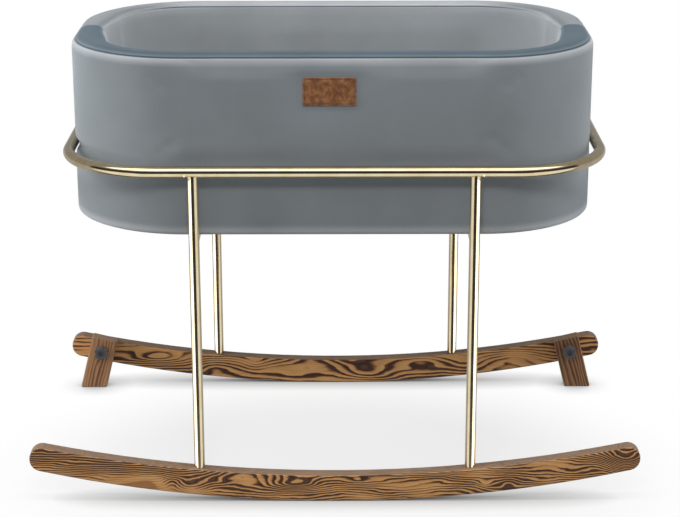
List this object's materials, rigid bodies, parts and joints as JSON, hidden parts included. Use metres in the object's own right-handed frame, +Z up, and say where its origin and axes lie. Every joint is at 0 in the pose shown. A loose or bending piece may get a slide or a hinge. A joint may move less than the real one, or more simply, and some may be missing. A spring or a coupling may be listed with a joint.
{
  "type": "rocking cradle",
  "caption": "Rocking cradle: padded velvet tub inside a bent brass rail on slim upright tubes, with curved wooden rockers and pivoting wooden stops clamped by star knobs.",
  "frame": {"origin": "on the floor, midway between the posts", "axes": "+X along the rockers, +Y from front to rear, +Z up; the leather patch is on the front, towards -Y"},
  "size_m": [1, 0.56, 0.74],
  "materials": {
    "brass": "satin plated tube",
    "wood": "oiled, strong dark grain",
    "black_plastic": "moulded, slightly glossy",
    "steel": "zinc plated",
    "board": "plain board",
    "foam": "open-cell foam",
    "velvet": "short pile, matt with soft sheen",
    "dust_cover": "thin non-woven",
    "mattress_fabric": "plain woven cotton",
    "leather": "smooth brown"
  },
  "bodies": {
    "frame": {"front_rocker": "wood", "rear_rocker": "wood", "top_rail": "brass", "front_left_post": "brass", "front_right_post": "brass", "rear_left_post": "brass", "rear_right_post": "brass", "left_crossbar": "brass", "right_crossbar": "brass", "post_plugs": "steel", "rocker_bolts": "steel", "rocker_washers": "steel", "pivot_nuts": "steel"},
    "left_stop": {"left_stop": "wood"},
    "right_stop": {"right_stop": "wood"},
    "left_knob": {"left_knob": "black_plastic", "left_knob_stud": "steel", "left_knob_washer": "steel"},
    "right_knob": {"right_knob": "black_plastic", "right_knob_stud": "steel", "right_knob_washer": "steel"},
    "tub": {"base_board": "board", "wall_hoop": "board", "hoop_screws": "steel", "wall_foam": "foam", "outer_cover_front": "velvet", "outer_cover_back": "velvet", "rim_strip_front": "velvet", "rim_strip_back": "velvet", "inner_liner": "velvet", "bottom_cover": "dust_cover", "leather_patch": "leather"},
    "mattress": {"mattress": "mattress_fabric"}
  },
  "joints": [
    {"name": "left_stop_pivot", "type": "hinge", "parent": "frame", "child": "left_stop", "pos_m": [-0.441, 0.2439, 0.07338], "axis": [0, -1, 0], "range_deg": [-88, 92]},
    {"name": "left_knob_turn", "type": "hinge", "parent": "frame", "child": "left_knob", "pos_m": [-0.441, 0.2307, 0.07338], "axis": [0, -1, 0], "continuous": true},
    {"name": "right_stop_pivot", "type": "hinge", "parent": "frame", "child": "right_stop", "pos_m": [0.441, 0.2439, 0.07338], "axis": [0, 1, 0], "range_deg": [-88, 92]},
    {"name": "right_knob_turn", "type": "hinge", "parent": "frame", "child": "right_knob", "pos_m": [0.441, 0.2307, 0.07338], "axis": [0, -1, 0], "continuous": true},
    {"name": "tub_lift", "type": "slide", "parent": "frame", "child": "tub", "axis": [0, 0, 1], "range_m": [0, 0.2]},
    {"name": "mattress_lift", "type": "slide", "parent": "tub", "child": "mattress", "axis": [0, 0, 1], "range_m": [0, 0.3]}
  ]
}
